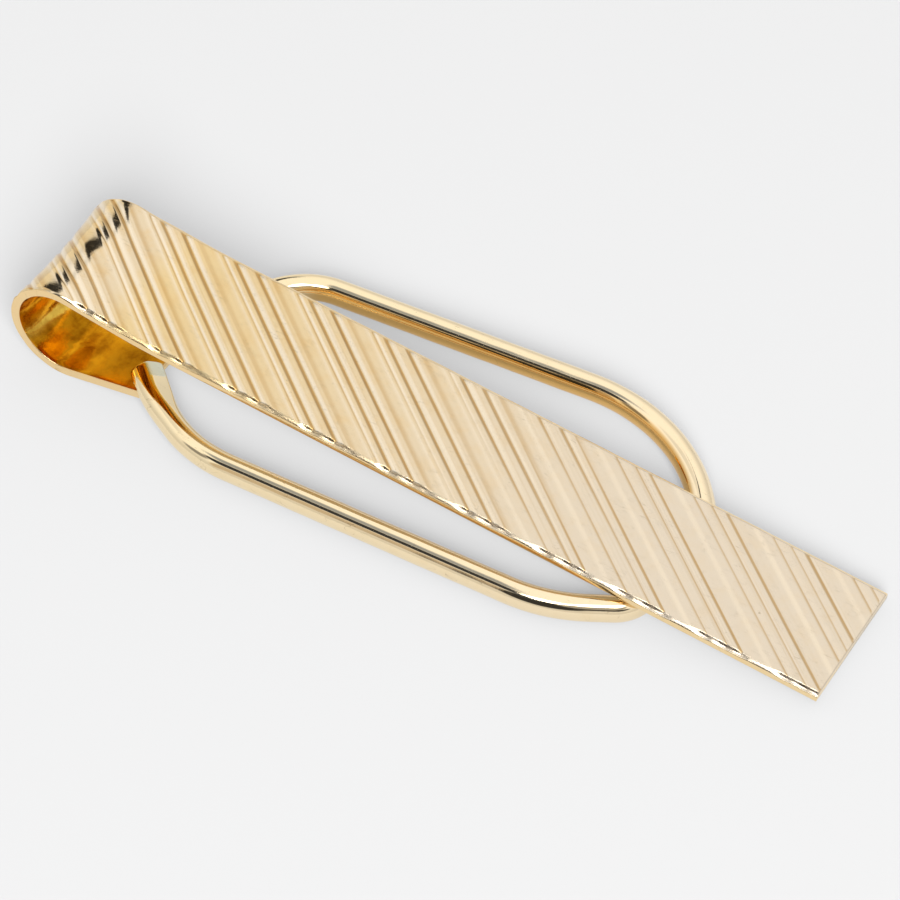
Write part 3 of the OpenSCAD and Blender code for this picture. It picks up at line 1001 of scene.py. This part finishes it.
@dataclass(frozen=True)
class GoldFinish:
    """A worked gold face: colours, gloss, grain, rolled striae, and what low and high tones add to it:
    painted shade and highlight on the strip, a painted amber reflection and the solder wash on the wire.

    Places where a look changes are counted along the frame's X in millimetres. The bow ends at about -27.
    """

    name: str
    left_colour: Colour
    right_colour: Colour
    deep_colour: Colour
    mark_colour: Colour
    roughness: float
    bow_roughness: float
    change: Span = (-24.0, 16.0)
    gloss_change: Span = (-25.5, -19.0)
    stains: Span = (0.42, 0.72)
    mottling: float = 0.5
    fading: float = 1.0
    bow_paleness: float = 0.0
    pale_start: Span = (-18.5, -21.5)
    pale_end: Span = (-25.0, -22.5)
    pale_rest: float = 0.1
    tooth_scale: float = 9.0
    tooth_gloss: float = 0.12
    bump: float = 0.1
    bump_height_mm: float = 0.02
    pits: float = 0.4
    scratches: float = 0.4
    mark_strength: float = 0.85
    # Low tones multiply in painted shade on the strip and a painted amber reflection on the wire; high tones
    # mix in painted highlight on the strip and the solder wash on the wire.
    shade_and_reflection_tint: Colour | None = None
    low_range: Span = (0.44, 0.0)
    highlight_and_wash_colour: Colour | None = None
    high_range: Span = (0.56, 0.84)
    high_rough: float = 0.0
    striae: float = 0.0
    striae_scale: float = 22.0
    dark_lines: Span = (0.52, 0.7)
    bright_lines: Span = (0.46, 0.3)
    broken_lines: Span = (0.25, 0.6)
    broken_share: float = 0.4
    crowd_shift: float = 0.22
    crowd_reach: Span = (0.2, 0.32)

    def along_strip(self, tree: Tree, along: object) -> Socket:
        """Blends the left colour into the right one, with a pale stretch just past the bow.

        Args:
            tree: The material's tree.
            along: Places along the frame's X in millimetres.

        Returns:
            The colour.
        """
        pale = tree.math("MINIMUM", tree.ramp(along, *self.pale_start, 0.0, self.bow_paleness),
                         tree.ramp(along, *self.pale_end, self.pale_rest, 1.0))
        share = tree.math("MAXIMUM", tree.ramp(along, *self.change), pale)
        return tree.blend(share, (*self.left_colour, 1), (*self.right_colour, 1))

    def rolled(self, tree: Tree, colour: object, shade: object) -> Socket:
        """Draws fine dark and bright lines beside the grooves: noise over the turns, broken by the stains.

        Args:
            tree: The material's tree.
            colour: The colour under them.
            shade: The grain's soft stains.

        Returns:
            The colour with its lines.
        """
        turns = tree.add("ShaderNodeAttribute", attribute_name="turns").outputs["Fac"]
        values = {"W": turns, "Scale": self.striae_scale, "Detail": 2.0, "Roughness": 0.6}
        lines = tree.add("ShaderNodeTexNoise", values, noise_dimensions="1D").outputs["Fac"]
        broken = tree.ramp(shade, *self.broken_lines, self.striae, self.broken_share * self.striae)
        folded = tree.math("PINGPONG", tree.math("ADD", turns, self.crowd_shift), 0.5)
        crowded = tree.ramp(folded, *self.crowd_reach)
        ways = ((self.dark_lines, self.shade_and_reflection_tint, "MULTIPLY"), (self.bright_lines, self.highlight_and_wash_colour, "MIX"))
        for span, tone, mode in ways:
            drawn = tree.math("MULTIPLY", tree.math("MULTIPLY", tree.ramp(lines, *span), broken), crowded)
            colour = tree.blend(drawn, colour, (*tone, 1), mode)
        return colour

    def material(self, grain: NodeTree) -> Material:
        """Builds the material.

        Args:
            grain: The shared grain group.

        Returns:
            The material.
        """
        material = bpy.data.materials.new(self.name)
        material.use_nodes = True
        tree = Tree(material.node_tree)
        place = tree.add("ShaderNodeTexCoord").outputs["Object"]
        mm = tree.add("ShaderNodeVectorMath", {0: place, "Scale": 1 / MM}, operation="SCALE").outputs[0]
        worked = tree.add("ShaderNodeGroup", node_tree=grain)
        for key, value in (("Place", mm), ("Tooth", self.tooth_scale), ("Pits", self.pits),
                           ("Scratches", self.scratches)):
            tree.feed(worked.inputs[key], value)
        shade, tooth, marks, height = worked.outputs
        along = tree.add("ShaderNodeSeparateXYZ", {0: mm}).outputs["X"]
        stained = tree.math("MULTIPLY", tree.ramp(shade, *self.stains),
                            tree.ramp(along, *self.change, self.mottling, self.mottling * self.fading))
        colour = tree.blend(stained, self.along_strip(tree, along), (*self.deep_colour, 1))
        rough = tree.ramp(along, *self.gloss_change, self.bow_roughness, self.roughness)
        grainy = tree.math("MULTIPLY", tree.math("SUBTRACT", tooth, 0.5), self.tooth_gloss)
        rough = tree.math("ADD", rough, grainy)
        # Low tone values give the strip's painted shade and the wire's painted amber reflection; high ones
        # give the strip's painted highlight and the wire's solder wash.
        if self.shade_and_reflection_tint and self.highlight_and_wash_colour:
            tone = tree.add("ShaderNodeAttribute", attribute_name="tone").outputs["Fac"]
            colour = tree.blend(tree.ramp(tone, *self.low_range), colour, (*self.shade_and_reflection_tint, 1), "MULTIPLY")
            high = tree.ramp(tone, *self.high_range)
            colour = tree.blend(high, colour, (*self.highlight_and_wash_colour, 1))
            rough = tree.math("ADD", rough, tree.math("MULTIPLY", high, self.high_rough))
        if self.striae:
            colour = self.rolled(tree, colour, shade)
        marked = tree.math("MULTIPLY", marks, self.mark_strength)
        colour = tree.blend(marked, colour, (*self.mark_colour, 1))
        bump = tree.add("ShaderNodeBump", {
            "Strength": self.bump, "Distance": self.bump_height_mm * MM, "Height": height,
        })
        shader = tree.add("ShaderNodeBsdfPrincipled", {
            "Base Color": colour, "Roughness": rough, "Metallic": 1.0, "Normal": bump.outputs[0],
        })
        tree.add("ShaderNodeOutputMaterial", {"Surface": shader.outputs[0]})
        return material


# The studio


@dataclass(frozen=True)
class Panel:
    """An oval patch of the studio's walls, seen from the table: where it is, how large, and how bright."""

    azimuth: float
    elevation: float
    half_width: float
    half_height: float
    brightness: float
    softness: float = 0.2
    tint: Colour = (1.0, 1.0, 1.0)


SLATE = (0.86, 0.95, 1.12)


@dataclass(frozen=True)
class Studio:
    """Pale table, soft light tent, a round soft lamp that metal doesn't mirror, and the photo's camera."""

    target_mm: Place = (26.32, 2.02, 0.0)
    azimuth: float = 30.386
    elevation: float = 48.02
    distance_mm: float = 270.14
    lens_mm: float = 184.85
    sensor_mm: float = 36.0
    nearest_mm: float = 10.0
    table_half_m: float = 1.5
    table_sink_mm: float = 0.01
    table_grey: float = 0.14
    table_glow: float = 0.385
    table_roughness: float = 0.9
    table_shine: float = 0.05
    tent_low: float = 0.72
    tent_high: float = 1.1
    tent_rise: Span = (5.0, 48.0)
    panels: tuple[Panel, ...] = (
        Panel(4, 34, 27, 22, 0.04, 0.3),
        Panel(-72, 69, 34, 6.5, 0.4, 0.8, SLATE),
        Panel(-35, 55, 19, 11, 0.05, 0.4, SLATE),
        Panel(-47, 36, 9, 11, 0.3, 0.6),
        Panel(-6, 56, 17, 13, 0.1, 0.4, SLATE),
        Panel(38, 50, 26, 13, 0.4, 0.3),
        Panel(44, 31, 22, 7, 0.08, 0.4),
        Panel(-25, 28, 6, 16, 0.6, 0.6, (1.0, 0.86, 0.7)),
        Panel(-104, 49, 24, 7, 0.85, 0.6),
        Panel(-127, 8, 20, 12, 1.0, 0.8, (1.0, 0.97, 0.9)),
        Panel(-137, 33, 10, 19, 0.04, 0.3),
        Panel(-1, 61, 18, 7.5, 7.0, 0.4),
        Panel(42, 65, 26, 10, 4.5, 0.5),
    )
    lamp_azimuth: float = 36
    lamp_elevation: float = 35
    lamp_distance_mm: float = 1500.0
    lamp_width_mm: float = 860.0
    lamp_watts: float = 108.0

    def build_table(self) -> None:
        """Lays the pale table under the clip: matt, and lit from below so that shadows on it stay soft."""
        mesh = bpy.data.meshes.new("table")
        h, z = self.table_half_m, -self.table_sink_mm * MM
        mesh.from_pydata([(-h, -h, z), (h, -h, z), (h, h, z), (-h, h, z)], [], [(0, 1, 2, 3)])
        table = bpy.data.objects.new("table", mesh)
        bpy.context.scene.collection.objects.link(table)
        material = bpy.data.materials.new("pale_table")
        material.use_nodes = True
        tree = Tree(material.node_tree)
        place = tree.add("ShaderNodeTexCoord").outputs["Object"]
        grey = self.table_grey
        light, dark = (grey, grey, grey * 1.003, 1), (grey * 0.985, grey * 0.985, grey * 0.99, 1)
        shader = tree.add("ShaderNodeBsdfPrincipled", {
            "Base Color": tree.blend(tree.noise(place, 6.0, 2.0), light, dark),
            "Roughness": self.table_roughness, "Specular IOR Level": self.table_shine,
            "Emission Color": (1, 1, 1, 1), "Emission Strength": self.table_glow,
        })
        tree.add("ShaderNodeOutputMaterial", {"Surface": shader.outputs[0]})
        mesh.materials.append(material)

    def build_tent(self) -> None:
        """Surrounds the table with a soft light tent whose panels are brighter or darker patches."""
        world = bpy.data.worlds.new("light_tent")
        bpy.context.scene.world = world
        world.use_nodes = True
        tree = Tree(world.node_tree)
        way = tree.add("ShaderNodeTexCoord").outputs["Generated"]
        x, y, z = tree.add("ShaderNodeSeparateXYZ", {0: way}).outputs
        turn = tree.math("DEGREES", tree.math("ARCTAN2", x, tree.math("MULTIPLY", y, -1.0)))
        rise = tree.math("DEGREES", tree.math("ARCSINE", z))
        low, high = (self.tent_low,) * 3 + (1,), (self.tent_high,) * 3 + (1,)
        light = tree.blend(tree.ramp(rise, *self.tent_rise), low, high)
        for panel in self.panels:
            off = tree.math("WRAP", tree.math("SUBTRACT", turn, panel.azimuth), 180.0, -180.0)
            over = tree.math("SUBTRACT", rise, panel.elevation)
            wide = tree.math("POWER", tree.math("DIVIDE", off, panel.half_width), 2.0)
            tall = tree.math("POWER", tree.math("DIVIDE", over, panel.half_height), 2.0)
            far = tree.math("SQRT", tree.math("ADD", wide, tall))
            inside = tree.ramp(far, 1 + panel.softness / 2, 1 - panel.softness / 2)
            light = tree.blend(inside, light, tuple(panel.brightness * t for t in panel.tint) + (1,))
        shine = tree.add("ShaderNodeBackground", {"Color": light, "Strength": 1.0})
        tree.add("ShaderNodeOutputWorld", {"Surface": shine.outputs[0]})

    def aimed(self, name: str, data: bpy.types.ID, azimuth: float, elevation: float,
              distance_mm: float) -> bpy.types.Object:
        """Makes an object that stands away from the clip and looks at its middle.

        Args:
            name: Its name.
            data: Its camera or lamp.
            azimuth: Degrees round from the front, to the right.
            elevation: Degrees over the table.
            distance_mm: How far away it is.

        Returns:
            The object, linked to the scene.
        """
        a, e = math.radians(azimuth), math.radians(elevation)
        back = Vector((math.sin(a) * math.cos(e), -math.cos(a) * math.cos(e), math.sin(e)))
        seen = bpy.data.objects.new(name, data)
        seen.location = Vector(BENCH.metres(np.array([self.target_mm]))[0]) + back * distance_mm * MM
        seen.rotation_euler = back.to_track_quat("Z", "Y").to_euler()
        bpy.context.scene.collection.objects.link(seen)
        return seen

    def build_lamp(self) -> None:
        """Sets the lamp."""
        data = bpy.data.lights.new("fill_lamp", "AREA")
        data.shape = "DISK"
        data.size = self.lamp_width_mm * MM
        data.energy = self.lamp_watts
        lamp = self.aimed("fill_lamp", data, self.lamp_azimuth, self.lamp_elevation, self.lamp_distance_mm)
        lamp.visible_glossy = False

    def build_camera(self) -> None:
        """Sets the camera."""
        data = bpy.data.cameras.new("camera")
        data.lens = self.lens_mm
        data.sensor_width = self.sensor_mm
        data.clip_start = self.nearest_mm * MM
        camera = self.aimed("camera", data, self.azimuth, self.elevation, self.distance_mm)
        bpy.context.scene.camera = camera

    def build(self) -> None:
        """Sets up the whole studio."""
        self.build_table()
        self.build_tent()
        self.build_lamp()
        self.build_camera()
        bpy.context.scene.cycles.caustics_reflective = False
        view = bpy.context.scene.view_settings
        view.view_transform = "Standard"
        view.look = "None"


# The clip

# Its low and high tones are the ribs' painted shade and painted highlight; the deep colour is stains.
RIBBED_GOLD = GoldFinish(
    "ribbed_gold", (0.80, 0.60, 0.305), (0.75, 0.64, 0.495), (0.77, 0.53, 0.24), (0.20, 0.12, 0.06),
    roughness=0.25, bow_roughness=0.06, mottling=0.5, fading=0.25, bow_paleness=0.6, bump=0.3,
    shade_and_reflection_tint=(0.72, 0.57, 0.35), highlight_and_wash_colour=(0.90, 0.77, 0.58), striae=0.25,
)
# The deep amber towards the bow is painted reflection of the gold that faces it; the brown mottling is
# stains.
INNER_GOLD = GoldFinish(
    "inner_gold", (0.95, 0.62, 0.10), (0.90, 0.74, 0.48), (0.51, 0.245, 0.02), (0.16, 0.07, 0.03),
    roughness=0.16, bow_roughness=0.09, change=(-19.0, -12.0), mottling=0.9, fading=0.2, bump=0.15,
    pits=0.5, scratches=0.3,
)
EDGE_GOLD = GoldFinish(
    "edge_gold", (0.94, 0.69, 0.36), (0.94, 0.72, 0.40), (0.90, 0.62, 0.28), (0.4, 0.25, 0.12),
    roughness=0.14, bow_roughness=0.16, mottling=0.3, bump=0.1, pits=0.2, scratches=0.4,
)
# Its low tone is a painted amber reflection on one flank; its high tone is the pale solder wash on the
# hammered ends.
WIRE_GOLD = GoldFinish(
    "wire_gold", (0.95, 0.78, 0.49), (0.96, 0.79, 0.53), (0.90, 0.70, 0.40), (0.3, 0.2, 0.1),
    roughness=0.06, bow_roughness=0.06, mottling=0.25, bump=0.06, pits=0.15, scratches=0.6,
    shade_and_reflection_tint=(0.86, 0.64, 0.33), highlight_and_wash_colour=(0.82, 0.84, 0.70), high_rough=0.25,
)
SOLDER_GOLD = GoldFinish(
    "solder_gold", (0.90, 0.66, 0.24), (0.90, 0.66, 0.24), (0.78, 0.50, 0.14), (0.3, 0.2, 0.1),
    roughness=0.22, bow_roughness=0.22, mottling=0.6, bump=0.4, pits=0.6, scratches=0.2,
)


def main() -> None:
    """Builds the clip and its studio."""
    logging.basicConfig(level=logging.INFO, format="%(name)s: %(message)s")
    low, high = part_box("back_tongue")
    strip = Strip(half_width=(high.y - low.y) / 2 / MM)
    grain = metal_grain_group()
    strip.build(RIBBED_GOLD.material(grain), INNER_GOLD.material(grain), EDGE_GOLD.material(grain))
    loop = WireLoop(strip)
    loop.build(WIRE_GOLD.material(grain))
    solder = SOLDER_GOLD.material(grain)
    SolderBank("near_solder_joint", loop.corners[0][1], loop.way_from(0, 1), strip).build(solder)
    SolderBank("far_solder_joint", loop.corners[-1][1], loop.way_from(-1, -2), strip).build(solder)
    Studio().build()
    bpy.context.view_layer.update()


if __name__ == "__main__":
    main()
